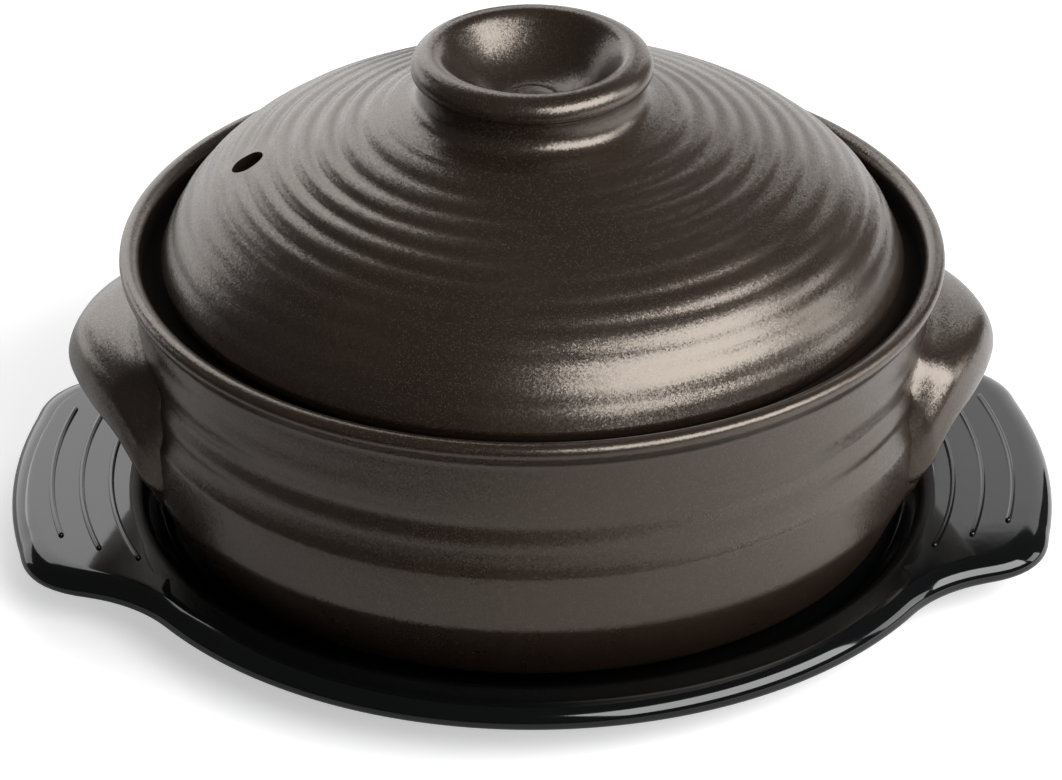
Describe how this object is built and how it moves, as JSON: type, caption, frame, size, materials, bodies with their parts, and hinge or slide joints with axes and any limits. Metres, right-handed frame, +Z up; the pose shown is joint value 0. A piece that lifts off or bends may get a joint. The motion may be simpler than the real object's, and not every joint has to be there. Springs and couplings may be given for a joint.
{
  "type": "lidded earthenware pot on a serving tray",
  "caption": "Round dark-glazed earthenware stove pot with lug handles, a domed lid with a cupped knob and a steam vent, standing in a moulded black tray with ribbed grip tabs.",
  "frame": {"origin": "middle of the tray's foot ring, on the table", "axes": "+X along the tray through both lugs, +Z up through the knob, the front of the pot faces -Y"},
  "size_m": [0.2328, 0.198, 0.1171],
  "materials": {
    "glaze": "satin dark brown glaze with fine pale specks",
    "melamine": "glossy black moulding"
  },
  "bodies": {
    "tray": {"serving_tray": "melamine"},
    "pot": {"pot_bowl": "glaze", "lug_handle_right": "glaze", "lug_handle_left": "glaze"},
    "lid": {"lid_dome": "glaze", "lid_knob": "glaze"}
  },
  "joints": [
    {"name": "pot_lift", "type": "slide", "parent": "tray", "child": "pot", "axis": [0, 0, 1], "range_m": [0, 0.12]},
    {"name": "lid_lift", "type": "slide", "parent": "pot", "child": "lid", "axis": [0, 0, 1], "range_m": [0, 0.12]}
  ]
}
